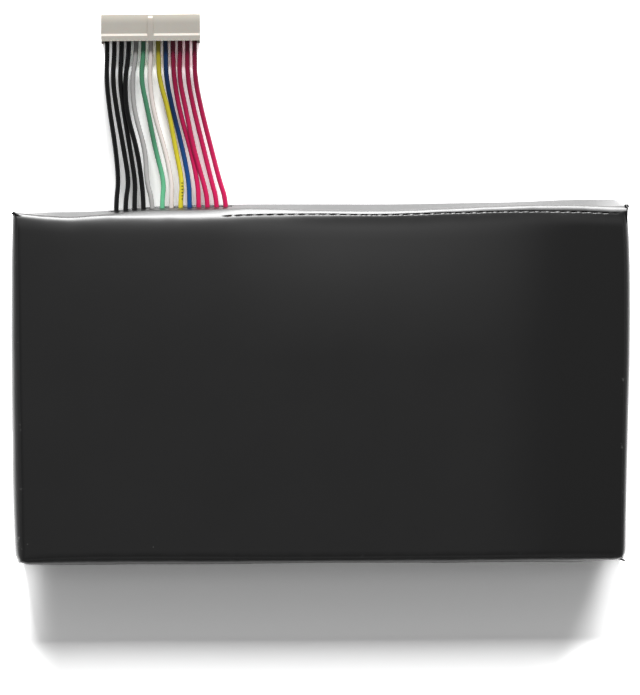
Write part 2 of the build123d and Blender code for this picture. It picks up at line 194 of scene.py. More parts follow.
def build_wrap():
    """The folded sheet's outer skin as one grid, before it is cut or creased."""
    flat_x, flat_y = half_x - fold, half_y - fold
    spread = half_x / flat_x
    x_fixed = [slot_x[0] / spread, slot_x[1] / spread]
    for inset in (0, 0.0003, 0.0007, 0.0012, 0.002, 0.0032):
        x_fixed += [inset - flat_x, flat_x - inset]
    for i in range(-28, 28):
        middle = (i + 0.5) * slit_pitch + slit_shift
        x_fixed += [middle - slit_length / 2, middle + slit_length / 2]
    y_fixed = [flat_y - far_slit, near_slit - flat_y]
    for inset in (0, 0.0006, 0.0009, 0.0013, 0.0018, 0.0024, 0.0031, 0.004, 0.0052, 0.007):
        y_fixed += [inset - flat_y, flat_y - inset]
    xs, ys = lines_between(x_fixed, 0.0016), lines_between(y_fixed, 0.0022)
    profile = []
    for k in range(9):
        turn = math.pi / 2 * k / 8
        profile.append((fold * (1 - math.sin(turn)), top - fold * (1 - math.cos(turn))))
    for z in (0.0122, 0.0118, 0.0114, 0.011, 0.0106, 0.0102, 0.0097, 0.0091, 0.0084, 0.0076, 0.0068,
              slot_z[1], 0.0049, slot_z[0], 0.0026, foot + lower_fold):
        profile.append((0, z))
    for k in range(1, 5):
        turn = math.pi / 2 * k / 4
        profile.append((lower_fold * (1 - math.cos(turn)), foot + lower_fold * (1 - math.sin(turn))))
    profile += [(0.0024, foot), (0.0044, foot), (lip, foot)]
    bm = bmesh.new()

    def patch(rows):
        made = [[bm.verts.new(p) for p in row] for row in rows]
        for low, high in zip(made, made[1:]):
            for k in range(len(low) - 1):
                bm.faces.new((low[k], low[k + 1], high[k + 1], high[k]))

    patch([[(x, y, top) for x in xs] for y in ys])
    for side in (-1, 1):
        patch([[(x * (half_x - inset) / flat_x, side * (half_y - inset), z) for x in xs]
               for inset, z in profile])
        patch([[(side * (half_x - inset), y * (half_y - inset) / flat_y, z) for y in ys]
               for inset, z in profile])
    bmesh.ops.remove_doubles(bm, verts=bm.verts, dist=1e-6)
    bmesh.ops.recalc_face_normals(bm, faces=bm.faces)
    if sum(f.normal.z for f in bm.faces if f.calc_center_median().z > top - 1e-5) < 0:
        bmesh.ops.reverse_faces(bm, faces=bm.faces)
    mesh = bpy.data.meshes.new("film_wrap_sheet")
    bm.to_mesh(mesh)
    bm.free()
    return mesh


def build_cuts(material):
    """Geometry Nodes that cut the dashes along the far fold and the slot for the lead."""
    tree = bpy.data.node_groups.new("fold_cuts", "GeometryNodeTree")
    tree.interface.new_socket("Geometry", in_out="INPUT", socket_type="NodeSocketGeometry")
    for name in ("Fold Start", "Face Height", "Cut Pitch", "Cut Shift", "Cut Length", "Cut Width", "First Cut",
                 "Last Cut", "Slot Middle", "Slot Half Length", "Slot Height", "Slot Half Height"):
        tree.interface.new_socket(name, in_out="INPUT", socket_type="NodeSocketFloat")
    tree.interface.new_socket("Geometry", in_out="OUTPUT", socket_type="NodeSocketGeometry")
    add, join = tree.nodes.new, tree.links.new
    given = add("NodeGroupInput").outputs

    def sum_of(operation, *values):
        node = add("ShaderNodeMath")
        node.operation = operation
        for socket, value in zip(node.inputs, values):
            if isinstance(value, (int, float)):
                socket.default_value = value
            else:
                join(value, socket)
        return node.outputs[0]

    def every(*values):
        result = values[0]
        for value in values[1:]:
            result = sum_of("MULTIPLY", result, value)
        return result

    split = add("ShaderNodeSeparateXYZ")
    join(add("GeometryNodeInputPosition").outputs[0], split.inputs[0])
    x, y, z = split.outputs
    half_pitch = sum_of("MULTIPLY", given["Cut Pitch"], 0.5)
    place = sum_of("SUBTRACT", sum_of("SUBTRACT", x, given["Cut Shift"]), half_pitch)
    phase = sum_of("ABSOLUTE", sum_of("WRAP", place, half_pitch, sum_of("MULTIPLY", half_pitch, -1.0)))
    across = sum_of("SUBTRACT", given["Fold Start"], y)
    dash = every(sum_of("LESS_THAN", phase, sum_of("MULTIPLY", given["Cut Length"], 0.5)),
                 sum_of("GREATER_THAN", across, 0.0), sum_of("LESS_THAN", across, given["Cut Width"]),
                 sum_of("GREATER_THAN", x, given["First Cut"]), sum_of("LESS_THAN", x, given["Last Cut"]),
                 sum_of("GREATER_THAN", z, sum_of("SUBTRACT", given["Face Height"], 0.0001)))
    slot = every(sum_of("LESS_THAN", sum_of("ABSOLUTE", sum_of("SUBTRACT", x, given["Slot Middle"])),
                        given["Slot Half Length"]),
                 sum_of("LESS_THAN", sum_of("ABSOLUTE", sum_of("SUBTRACT", z, given["Slot Height"])),
                        given["Slot Half Height"]),
                 sum_of("GREATER_THAN", y, given["Fold Start"]))
    cut = add("GeometryNodeDeleteGeometry")
    cut.domain = "FACE"
    join(given["Geometry"], cut.inputs["Geometry"])
    join(sum_of("GREATER_THAN", sum_of("MAXIMUM", dash, slot), 0.5), cut.inputs["Selection"])
    real = add("GeometryNodeRealizeInstances")
    join(cut.outputs[0], real.inputs[0])
    skin = add("GeometryNodeSetMaterial")
    skin.inputs["Material"].default_value = material
    join(real.outputs[0], skin.inputs["Geometry"])
    join(skin.outputs[0], add("NodeGroupOutput").inputs[0])
    return tree


def build_film():
    """Black film: faint clouds in its gloss, a matt face, a painted sheen, fold lines darkened by painted shade,
    dust and pale nicks.
    """
    material = finish_with_grain("satin_film", (0.0042, 0.0042, 0.0044), (0.0030, 0.0030, 0.0031),
                                 55, 0.42, 0.05, 0.04, IOR=1.56, Coat_Roughness=0.28)
    tree = material.node_tree
    add, join = tree.nodes.new, tree.links.new
    shader = tree.nodes["Principled BSDF"]
    skin = next(n for n in tree.nodes if n.type == "GROUP")
    place = add("ShaderNodeTexCoord")
    specks = add("ShaderNodeTexVoronoi")
    specks.inputs["Scale"].default_value = 260
    join(place.outputs["Object"], specks.inputs["Vector"])
    close = add("ShaderNodeMapRange")
    close.inputs["From Min"].default_value = 0.05
    close.inputs["From Max"].default_value = 0.02
    join(specks.outputs["Distance"], close.inputs["Value"])
    rare = add("ShaderNodeSeparateColor")
    join(specks.outputs["Color"], rare.inputs[0])
    some = add("ShaderNodeMath")
    some.operation = "GREATER_THAN"
    some.inputs[1].default_value = 0.965
    join(rare.outputs[0], some.inputs[0])
    dust = add("ShaderNodeMath")
    dust.operation = "MULTIPLY"
    join(close.outputs[0], dust.inputs[0])
    join(some.outputs[0], dust.inputs[1])
    rubbed = add("ShaderNodeAttribute")
    rubbed.attribute_name = "rubbed"
    chips = add("ShaderNodeTexNoise")
    chips.inputs["Scale"].default_value = 420
    chips.inputs["Detail"].default_value = 3
    join(place.outputs["Object"], chips.inputs["Vector"])
    chipped = add("ShaderNodeMapRange")
    chipped.inputs["From Min"].default_value = 0.66
    chipped.inputs["From Max"].default_value = 0.74
    join(chips.outputs["Fac"], chipped.inputs["Value"])
    nick = add("ShaderNodeMath")
    nick.operation = "MULTIPLY"
    join(chipped.outputs[0], nick.inputs[0])
    join(rubbed.outputs["Fac"], nick.inputs[1])
    pale = add("ShaderNodeMath")
    pale.operation = "MAXIMUM"
    join(nick.outputs[0], pale.inputs[0])
    join(dust.outputs[0], pale.inputs[1])
    tone = add("ShaderNodeMix")
    tone.data_type = "RGBA"
    tone.inputs["B"].default_value = (0.11, 0.11, 0.108, 1)
    join(pale.outputs[0], tone.inputs["Factor"])
    join(skin.outputs["Color"], tone.inputs["A"])
    # painted light and shade added to the colour: a paler cloud and far fold, a darker right end and fold lines
    painted_light_and_shade = add("ShaderNodeAttribute")
    painted_light_and_shade.attribute_name = "painted_light_and_shade"
    with_painted_light = add("ShaderNodeMix")
    with_painted_light.data_type, with_painted_light.blend_type, with_painted_light.clamp_result = "RGBA", "ADD", True
    with_painted_light.inputs["Factor"].default_value = 1.0
    join(tone.outputs["Result"], with_painted_light.inputs["A"])
    join(painted_light_and_shade.outputs["Fac"], with_painted_light.inputs["B"])
    join(with_painted_light.outputs["Result"], shader.inputs["Base Color"])
    matt = add("ShaderNodeAttribute")
    matt.attribute_name = "matt"
    coat = add("ShaderNodeMath")
    coat.operation = "MULTIPLY_ADD"
    coat.inputs[1].default_value, coat.inputs[2].default_value = -0.5, 0.5
    join(matt.outputs["Fac"], coat.inputs[0])
    join(coat.outputs[0], shader.inputs["Coat Weight"])
    haze = add("ShaderNodeAttribute")
    haze.attribute_name = "haze"
    gloss = add("ShaderNodeMath")
    gloss.operation = "ADD"
    join(skin.outputs["Roughness"], gloss.inputs[0])
    join(haze.outputs["Fac"], gloss.inputs[1])
    join(gloss.outputs[0], shader.inputs["Roughness"])
    return material


satin_film = build_film()
film = bpy.data.objects.new("film_wrap_skin", build_wrap())
bpy.context.scene.collection.objects.link(film)
cuts = build_cuts(satin_film)
cutting = film.modifiers.new("fold_cuts", "NODES")
cutting.node_group = cuts
cut_values = {"Fold Start": half_y - fold, "Face Height": top,
              "Cut Pitch": slit_pitch, "Cut Shift": slit_shift, "Cut Length": slit_length,
              "Cut Width": far_slit, "First Cut": -0.0262, "Last Cut": 0.0812,
              "Slot Middle": sum(slot_x) / 2, "Slot Half Length": (slot_x[1] - slot_x[0]) / 2,
              "Slot Height": sum(slot_z) / 2, "Slot Half Height": (slot_z[1] - slot_z[0]) / 2}
for item in cuts.interface.items_tree:
    if item.name in cut_values:
        cutting[item.identifier] = cut_values[item.name]
depsgraph = bpy.context.evaluated_depsgraph_get()
cut_sheet = bpy.data.meshes.new_from_object(film.evaluated_get(depsgraph))
film.modifiers.clear()
film.data = cut_sheet


def ease(start, stop, value):
    """0 before the start, 1 after the stop, and smooth between."""
    t = min(max((value - start) / (stop - start), 0), 1)
    return t * t * (3 - 2 * t)


def along(table, value):
    """A smooth line through the points of a short table."""
    if value <= table[0][0]:
        return table[0][1]
    for k in range(len(table) - 1):
        (a, u), (b, v) = table[k], table[k + 1]
        if value <= b:
            before, after = table[max(k - 1, 0)], table[min(k + 2, len(table) - 1)]
            rise_a = (v - before[1]) / (b - before[0]) * (b - a)
            rise_b = (after[1] - u) / (after[0] - a) * (b - a)
            t = (value - a) / (b - a)
            return (u * (1 + 2 * t) * (1 - t) ** 2 + v * t * t * (3 - 2 * t)
                    + rise_a * t * (1 - t) ** 2 - rise_b * t * t * (1 - t))
    return table[-1][1]


# The far edge, in millimetres along X: where its roll faces the lamp, where its wall meets the floor, how
# far the cuts lie from the roll's middle, and how far the face has sunk there.
far_roll = ((-83, 47.6), (-81, 47.4), (-78.9, 47.14), (-74.8, 46.68), (-68, 46.2), (-62.5, 46.5),
            (-57, 46.74), (-46, 46.65), (-32.5, 46.54), (-19, 46.97), (0, 47.22), (16.7, 47.14), (36, 47.83),
            (55, 48.5), (71, 48.35), (79.5, 47.93), (83, 47.8))
far_wall = ((-83, 47.3), (-74, 47.45), (-63, 47.55), (-56, 47.94), (-49, 48.5), (-43, 48.93), (-22, 49.18),
            (0, 49.04), (20, 48.88), (36, 49.02), (53, 49.18), (61, 49.42), (69, 49.68), (78, 49.73),
            (81.2, 49.75), (82.4, 49.35), (83.6, 48.6))
cut_drift = ((-26, 0), (-19, 0), (0, -0.2), (16, -0.45), (36, -0.8), (55, -1.2), (71, -1.3), (83, -1.3))
face_fall = ((-83, 0.4), (-50, 0.75), (0, 1.15), (30, 1.0), (60, 0.6), (83, 0.35))
# How far along the sheet from that roll's middle it comes to lie this steeply, in degrees, at each X:
# pinched at the left end, soft over the lead, and crisper along the rest.
steepness = (2, 7, 13, 20, 27, 32, 37, 47, 66, 85)
far_bend = (
    (-83, (-4.0, -1.8, -0.95, -0.60, -0.35, 0, 0.30, 0.45, 0.60, 0.80)),
    (-75, (-3.4, -2.2, -1.40, -0.85, -0.35, 0, 0.40, 0.55, 0.70, 0.90)),
    (-68, (-4.4, -2.6, -1.50, -0.75, -0.45, 0, 0.50, 0.65, 0.80, 1.00)),
    (-62.5, (-3.6, -2.3, -1.65, -1.00, -0.45, 0, 0.50, 0.65, 0.80, 1.00)),
    (-57, (-5.0, -3.4, -2.20, -1.30, -0.45, 0, 0.40, 0.60, 0.85, 1.20)),
    (-46, (-5.5, -3.5, -2.30, -1.30, -0.50, 0, 0.45, 1.60, 2.50, 3.00)),
    (-32.5, (-5.0, -3.0, -1.80, -1.20, -0.60, 0, 1.10, 1.80, 2.60, 3.00)),
    (-19, (-6.0, -3.2, -1.90, -1.20, -0.70, 0, 1.90, 2.10, 2.25, 2.45)),
    (0, (-2.8, -1.7, -1.30, -1.00, -0.75, 0, 0.75, 0.90, 1.05, 1.25)),
    (16.5, (-2.5, -1.5, -1.10, -0.70, -0.35, 0, 0.60, 0.75, 0.90, 1.10)),
    (36, (-2.8, -1.75, -1.35, -0.90, -0.30, 0, 0.35, 0.50, 0.65, 0.85)),
    (55, (-3.2, -2.2, -1.60, -0.95, -0.40, 0, 0.30, 0.45, 0.60, 0.80)),
    (71, (-3.2, -2.2, -1.70, -0.90, -0.40, 0, 0.40, 0.55, 0.70, 0.90)),
    (83, (-2.4, -1.3, -1.05, -0.85, -0.60, 0, 0.60, 0.75, 0.90, 1.10)))
# How far the other three walls belly out, along Y or X, and how much rounder the near fold is.
left_out = ((-49, 0.65), (-39, 0.9), (-27, 1.07), (-12, 1.05), (7, 1.0), (18, 0.9), (27, 0.74), (40, 0.44),
            (47, 0.1))
right_out = ((-49, -0.16), (-34, 0.06), (-20, 0.42), (-7, 0.78), (6, 1.16), (20, 1.34), (32, 1.3), (39, 1.14),
             (43, 0.95), (46, 0.7), (49, 0.35))
near_out = ((-83, -0.25), (-79, 0.05), (-70, 0.24), (-50, 0.28), (-35, 0.38), (-21, 0.35), (-5, 0.2), (9, 0.22),
            (19, 0.33), (34, 0.5), (49, 0.4), (60, 0.45), (69, 0.56), (76, 0.15), (83, -0.25))
near_wide = ((-83, 0.3), (-70, 0.85), (-50, 0.9), (-20, 0.6), (0, 0.45), (40, 0.45), (70, 0.5), (83, 0.2))
sections = {}
# the pack in millimetres: half its length, half its width, its height and the radius of its upper folds
half_long, half_short, tall, bend_radius = 83.6, 49.05, 14, 1.4


def fall(x, y):
    """How far the face has sunk at a place."""
    return along(face_fall, x) * max(0, (y - 14) / 35) ** 2


def far_section(x):
    """The far edge's section: run along the sheet from its roll's middle, Y, Z, and the run at 9 mm up."""
    x = round(x * 2) / 2
    if x in sections:
        return sections[x]
    steps = np.arange(-7, 30, 0.05)
    bend = [np.interp(x, [at for at, row in far_bend], [row[k] for at, row in far_bend])
            for k in range(len(steepness))]
    turn = np.radians(np.interp(steps, bend, steepness))
    y = np.cumsum(np.cos(turn)) * 0.05
    z = -np.cumsum(np.sin(turn)) * 0.05
    y += along(far_roll, x) - y[int(round(7 / 0.05))]
    z += tall - fall(x, y[0]) - z[0]
    low = int(np.argmin(np.abs(z - 1.5)))
    y += (along(far_wall, x) - y[low]) * np.clip((steps - bend[-1]) / (steps[low] - bend[-1]), 0, 1)
    sections[x] = steps, y, z, float(np.interp(-9, -z, steps))
    return sections[x]


def far_shift(x, to_far, z):
    """How far a point near the far edge moves in Y and Z when the sheet takes that section."""
    steps, ys, zs, at_nine = far_section(x)
    drop = tall - z
    start = 0.15 + along(cut_drift, x)

    def place(run):
        run = run + start if run <= 0 else start + run / 5.8 * (at_nine - start)
        return float(np.interp(run, steps, ys)), float(np.interp(run, steps, zs))

    if to_far < bend_radius and drop < bend_radius:
        py, pz = place(bend_radius * math.atan2(bend_radius - to_far, bend_radius - drop))
        return py - (half_short - to_far), pz - z
    if bend_radius - to_far + start > -7:
        py, pz = place(min(bend_radius - to_far, 0))
        face = py - half_short + max(to_far, bend_radius), pz - tall
    else:
        face = (ys[0] - (47.65 - 7 - start)) * ease(24, 8.4 + start, to_far), -fall(x, half_short - to_far)
    if z > 9:
        py, pz = place(2.2 + min(max(drop - bend_radius, 0), 3.6))
        wall = py - half_short, pz - min(z, 12.6)
    else:
        wall = float(np.interp(-max(z, 1.5), -zs, ys)) - half_short, 0
    hold = ease(9, 0.3, to_far)
    share = ease(-0.35, 0.35, (to_far - drop) / (to_far + drop))
    high = ease(1.6, 12.0, z)
    return (share * face[0] * high + (1 - share) * wall[0] * hold,
            share * face[1] * high + (1 - share) * wall[1] * hold)


def settle(p):
    """Where a point of the sheet lies once the slack film has rolled, sunk and bellied. Millimetres."""
    x, y, z = p
    to_far, to_near, to_left, to_right = half_short - y, half_short + y, x + half_long, half_long - x
    drop = tall - z
    wave = noise.noise(Vector((x / 9, y / 9, z / 14)))
    fine = noise.noise(Vector((x / 3.4, y / 3.4, 7 + z / 6)))
    dy, dz = far_shift(x, max(to_far, 0), z)
    dx = 0
    # small dents along the far roll
    dz += 0.07 * fine * ease(5.5, 1.5, to_far) * ease(9, 12, z)
    dy += 0.10 * wave * ease(1.5, 0, to_far) * ease(0.5, 5, z) * ease(14, 10, z)
    # the other walls belly out between their folds, most of all near the top
    belly = math.sin(math.pi * min(max((z - 0.3) / 13.7, 0), 1) ** 2.2)
    dx -= (along(left_out, y) / 0.9 + 0.06 * wave) * belly * ease(1.6, 0, to_left)
    out = along(right_out, y)
    dx += 0.75 * out * ease(7, 1.4, to_right) * ease(0.5, 10, z)
    dx += (0.25 * out + 0.12 + 0.06 * wave) * belly * ease(1.6, 0, to_right)
    dy -= (along(near_out, x) / 0.85 + 0.06 * wave) * belly * ease(1.6, 0, to_near)
    # the near fold is rounder than the others
    wide = along(near_wide, x)
    radius = bend_radius
    dy += wide * (to_near / radius if to_near < radius else ease(9, radius, to_near)) * ease(7, radius, drop)
    dz -= wide * (drop / radius if drop < radius else ease(8, radius, drop)) * ease(6, radius, to_near)
    # the cuts along the near fold have closed up and leave it scalloped
    scallop = math.cos((x - 1000 * slit_shift) / (1000 * slit_pitch) * 2 * math.pi + math.pi)
    on_fold = ease(2.6, 1.5, to_near) * ease(0.2, 1.2, to_near) * ease(11.5, 13, z) * ease(82, 79, abs(x))
    dz -= 0.15 * (1 - scallop) * on_fold
    # the near corners are drawn in
    for reach, pull, side, gap in ((2.6, 0.5, 1, to_left), (2.4, 0.45, -1, to_right)):
        corner = pull * ease(reach, 0, math.hypot(gap, to_near))
        dx += side * corner
        dy += corner
    return x + dx, y + dy, z + dz


def add_ear(bm, path):
    """A flap of pinched film standing on edge, from (x, y, upper edge, lower edge) in millimetres."""
    upper = [bm.verts.new((x / 1000, y / 1000, high / 1000)) for x, y, high, low in path]
    middle = [bm.verts.new((x / 1000, y / 1000, (high + low) / 2000)) for x, y, high, low in path]
    lower = [bm.verts.new((x / 1000, y / 1000, low / 1000)) for x, y, high, low in path]
    for one, other in ((upper, middle), (middle, lower)):
        for k in range(len(path) - 1):
            bm.faces.new((one[k], one[k + 1], other[k + 1], other[k]))


bm = bmesh.new()
bm.from_mesh(cut_sheet)
rubbed = bm.verts.layers.float.new("rubbed")
haze = bm.verts.layers.float.new("haze")
matt = bm.verts.layers.float.new("matt")
painted_light_and_shade = bm.verts.layers.float.new("painted_light_and_shade")
# the face is matt, and shinier in a cloud before the lead, where a painted sheen also makes it paler; toward the
# right and along its folds it is rougher and darkened by painted shade
haze_along_x = ((-83, 0), (-60, 0.2), (-30, 0.3), (-18, 0.6), (0, 1), (18, 0.9), (35, 0.7), (50, 0.4), (65, 0.1),
                (83, 0))
haze_along_y = ((8, 0), (24, 0.3), (35, 0.6), (40, 0.75), (44, 1), (46, 0.4), (47.5, 0))
face_haze, cloud_shine, dark_haze, painted_cloud_sheen, painted_dark_shade, painted_fold_highlight = 0.53, 0.25, 0.1, 0.014, 0.005, 0.12
for v in bm.verts:
    x, y, z = v.co * 1000
    inset = min(half_long - abs(x), half_short + y)
    face = ease(12.8, 13.8, z)
    line = ease(2.0, 1.55, inset) * ease(1.2, 1.4, inset) * ease(48, 44, y)
    v[rubbed] = ease(2.2, 1.0, min(inset, half_short - y)) * ease(10, 12.5, z) * (0.35 if y < -45 else 1)
    flat = face * ease(47.8, 43, y) * ease(1.0, 1.5, inset)
    middle = along(haze_along_x, x) * along(haze_along_y, y)
    v[matt] = flat
    right_end = ease(42, 78, x)
    v[haze] = flat * (face_haze - cloud_shine * middle + dark_haze * max(right_end, line))
    v[painted_light_and_shade] = flat * (painted_cloud_sheen * middle - painted_dark_shade * right_end) - painted_dark_shade * face * line
    v[painted_light_and_shade] += painted_cloud_sheen * middle * ease(41, 45, y) * ease(48, 46.5, y)
for v in bm.verts:
    v.co = Vector(settle([c * 1000 for c in v.co])) / 1000
# a painted highlight pales the far fold where it is bent most sharply
bm.normal_update()
for v in bm.verts:
    x, y, z = v.co * 1000
    steep = math.degrees(math.acos(min(max(v.normal.z, -1), 1)))
    v[painted_light_and_shade] += (painted_fold_highlight * ease(-62, -50, x) * ease(83, 80, x) * ease(45, 46, y) * ease(10.4, 11, z)
                 * ease(34, 42, steep) * ease(86, 78, steep))
for ear in (
        [(-80.6, 46.8, 12.9, 12.3), (-81.9, 47.1, 13.2, 11.8), (-82.7, 47.6, 13.3, 11.2),
         (-83.35, 48.05, 13.2, 10.6), (-83.8, 47.6, 12.9, 10.8)],
        [(83.7, 43.4, 13.0, 12.4), (83.8, 44.3, 13.2, 12.0), (83.86, 46.0, 13.3, 11.6),
         (83.9, 47.6, 13.4, 11.0), (84.35, 48.8, 13.3, 10.4)],
        [(83.5, 49.0, 13.1, 10.6), (84.0, 49.03, 13.3, 10.3), (84.55, 48.98, 13.2, 10.6)],
        [(81.4, -48.3, 12.9, 12.2), (82.3, -48.55, 13.0, 11.6), (83.0, -48.85, 12.8, 11.0),
         (83.5, -49.1, 12.5, 10.6)]):
    add_ear(bm, ear)
bm.to_mesh(cut_sheet)
bm.free()
cut_sheet.polygons.foreach_set("use_smooth", [True] * len(cut_sheet.polygons))
cut_sheet.set_sharp_from_angle(angle=math.radians(48))
thick = film.modifiers.new("sheet", "SOLIDIFY")
thick.thickness, thick.offset, thick.use_even_offset = sheet, -1, True
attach(film, "root")
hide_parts("film_wrap")


# Back sheet. A flat patch of the same film that closes the pack from below.
dress("back_sheet", satin_film)


# Lead. Thirteen stranded wires in glossy soft insulation, soldered under the board. They leave
# through the slot, sag toward the table and run into the plug side by side.
exit_first, exit_pitch, pin_first, pin_pitch = -0.05578, 0.00253, -0.05775, 0.0020
# each tint's two tones, and how much paler or darker than those it is from one place along Y to another, as
# painted light near the pack and painted shade toward the plug
insulation = {
    "black": ((0.0035, 0.0035, 0.0038), (0.0025, 0.0025, 0.0028), (0.0510, 0.0580, 2.4, 1.0)),
    "grey": ((0.33, 0.325, 0.32), (0.28, 0.275, 0.27), (0.0515, 0.0900, 1.3, 0.85)),
    "green": ((0.110, 0.400, 0.220), (0.095, 0.34, 0.185), (0.0510, 0.0680, 1.4, 0.50)),
    "white": ((0.66, 0.60, 0.57), (0.60, 0.54, 0.51), (0.0515, 0.0900, 1.15, 0.85)),
    "yellow": ((0.62, 0.54, 0.032), (0.54, 0.46, 0.026), (0.0515, 0.0900, 1.15, 0.50)),
    "blue": ((0.008, 0.065, 0.230), (0.006, 0.050, 0.19), (0.0510, 0.0740, 1.3, 0.32)),
    "red": ((0.50, 0.010, 0.085), (0.43, 0.007, 0.068), (0.0515, 0.0900, 1.3, 0.30)),
}
soft_vinyl = {}
for tint, (color, second, painted_shading) in insulation.items():
    made = finish_with_grain(f"{tint}_insulation", color, second, 700, 0.34, 0.10, 0.06,
                             IOR=1.38 if tint == "black" else 1.42, Coat_Weight=0.05, Coat_Roughness=0.2)
    tree = made.node_tree
    add, join = tree.nodes.new, tree.links.new
    skin = next(n for n in tree.nodes if n.type == "GROUP")
    place, split = add("ShaderNodeTexCoord"), add("ShaderNodeSeparateXYZ")
    join(place.outputs["Object"], split.inputs[0])
    # painted light and shade along the wire: paler near the pack, darker toward the plug where its shadow falls
    painted_wire_shading = add("ShaderNodeMapRange")
    for socket, value in zip(("From Min", "From Max", "To Min", "To Max"), painted_shading):
        painted_wire_shading.inputs[socket].default_value = value
    join(split.outputs["Y"], painted_wire_shading.inputs["Value"])
    shade = painted_wire_shading.outputs[0]
    if tint == "yellow":
        # a row of small ink dots near the pack
        masks = []
        for source, operation, low, high in ((split.outputs["Y"], "COMPARE", 0.0531, 0.0025),
                                             (split.outputs["X"], "COMPARE", -0.03748, 0.00025)):
            node = add("ShaderNodeMath")
            node.operation = operation
            join(source, node.inputs[0])
            node.inputs[1].default_value, node.inputs[2].default_value = low, high
            masks.append(node.outputs[0])
        beat = add("ShaderNodeMath")
        beat.operation = "PINGPONG"
        beat.inputs[1].default_value = 0.00044
        join(split.outputs["Y"], beat.inputs[0])
        dot = add("ShaderNodeMath")
        dot.operation = "LESS_THAN"
        dot.inputs[1].default_value = 0.00020
        join(beat.outputs[0], dot.inputs[0])
        ink = dot.outputs[0]
        for mask in masks:
            both = add("ShaderNodeMath")
            both.operation = "MULTIPLY"
            join(ink, both.inputs[0])
            join(mask, both.inputs[1])
            ink = both.outputs[0]
        clean = add("ShaderNodeMath")
        clean.operation = "MULTIPLY_ADD"
        clean.inputs[1].default_value, clean.inputs[2].default_value = -0.85, 1.0
        join(ink, clean.inputs[0])
        both = add("ShaderNodeMath")
        both.operation = "MULTIPLY"
        join(shade, both.inputs[0])
        join(clean.outputs[0], both.inputs[1])
        shade = both.outputs[0]
    tone = add("ShaderNodeMix")
    tone.data_type, tone.blend_type = "RGBA", "MULTIPLY"
    tone.inputs["Factor"].default_value = 1.0
    join(skin.outputs["Color"], tone.inputs["A"])
    join(shade, tone.inputs["B"])
    join(tone.outputs["Result"], tree.nodes["Principled BSDF"].inputs["Base Color"])
    soft_vinyl[tint] = made
# each wire's four free points, in millimetres: drift in X (the first three from where it leaves the pack, the
# last from its place in the plug) and height
free_y = (0.0556, 0.0645, 0.0750, 0.0840)
routes = {
    "wire_black_1": ((0.80, 4.44), (0.10, 3.47), (-1.48, 2.66), (-0.38, 2.25)),
    "wire_black_2": ((1.13, 4.44), (-0.22, 3.47), (-2.04, 2.66), (-0.67, 2.25)),
    "wire_black_3": ((0.38, 4.35), (-1.03, 3.18), (-2.68, 2.32), (-0.70, 2.13)),
    "wire_black_4": ((-0.40, 4.66), (-1.58, 4.11), (-4.49, 3.27), (-1.23, 2.46)),
    "wire_grey": ((-1.64, 4.44), (-1.86, 3.49), (-4.93, 2.73), (-1.30, 2.28)),
    "wire_green": ((0.71, 4.47), (-1.68, 3.56), (-3.62, 2.74), (-0.92, 2.28)),
    "wire_white": ((0.27, 4.41), (-1.55, 3.38), (-4.70, 2.57), (-0.56, 2.22)),
    "wire_yellow": ((0.63, 4.47), (-1.16, 3.58), (-2.96, 2.82), (0.08, 2.31)),
    "wire_blue": ((-0.12, 4.41), (-1.76, 3.38), (-4.35, 2.57), (0.05, 2.22)),
    "wire_red_1": ((-0.28, 4.28), (-2.13, 3.05), (-5.07, 2.37), (0.20, 2.16)),
    "wire_red_2": ((-1.22, 4.66), (-3.75, 4.08), (-5.75, 3.12), (-0.34, 2.40)),
    "wire_red_3": ((-1.48, 4.41), (-3.56, 3.38), (-6.13, 2.57), (-0.05, 2.22)),
    "wire_red_4": ((-1.77, 4.44), (-3.98, 3.47), (-6.59, 2.66), (-0.02, 2.25)),
}
for i, (node, free) in enumerate(routes.items()):
    leaves, enters = exit_first + exit_pitch * i, pin_first + pin_pitch * i
    curve = bpy.data.curves.new(f"{node}_line", "CURVE")
    curve.dimensions = "3D"
    curve.bevel_depth, curve.bevel_resolution, curve.use_fill_caps = 0.00067, 4, True
    curve.resolution_u = 10
    line = curve.splines.new("NURBS")
    points = [(leaves, 0.04235, 0.004875), (leaves, 0.0504, 0.004875)]
    for start, y, (drift, height) in zip((leaves, leaves, leaves, enters), free_y, free):
        points.append((start + drift / 1000, y, height / 1000))
    points += [(enters, 0.0910, 0.0021), (enters, 0.09735, 0.0021)]
    line.points.add(len(points) - 1)
    for held, place in zip(line.points, points):
        held.co = (*place, 1)
    line.order_u = 3
    line.use_endpoint_u = True
    tint = node.split("_")[1]
    curve.materials.append(soft_vinyl[tint])
    lead = bpy.data.objects.new(f"{node}_lead", curve)
    bpy.context.scene.collection.objects.link(lead)
    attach(lead, "root")
    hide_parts(node)


# Plug. Injection-moulded off-white nylon with a raised rear rim and a key rib on top, one
# square cavity a wire, and every outer edge slightly rounded by the mould.
off_white_nylon = finish_with_grain("off_white_nylon", (0.425, 0.40, 0.358), (0.39, 0.365, 0.325),
                                    220, 0.42, 0.08, 0.10, Subsurface_Weight=0.12, Subsurface_Scale=0.0008)
tree = off_white_nylon.node_tree
place, split = tree.nodes.new("ShaderNodeTexCoord"), tree.nodes.new("ShaderNodeSeparateXYZ")
tree.links.new(place.outputs["Object"], split.inputs[0])
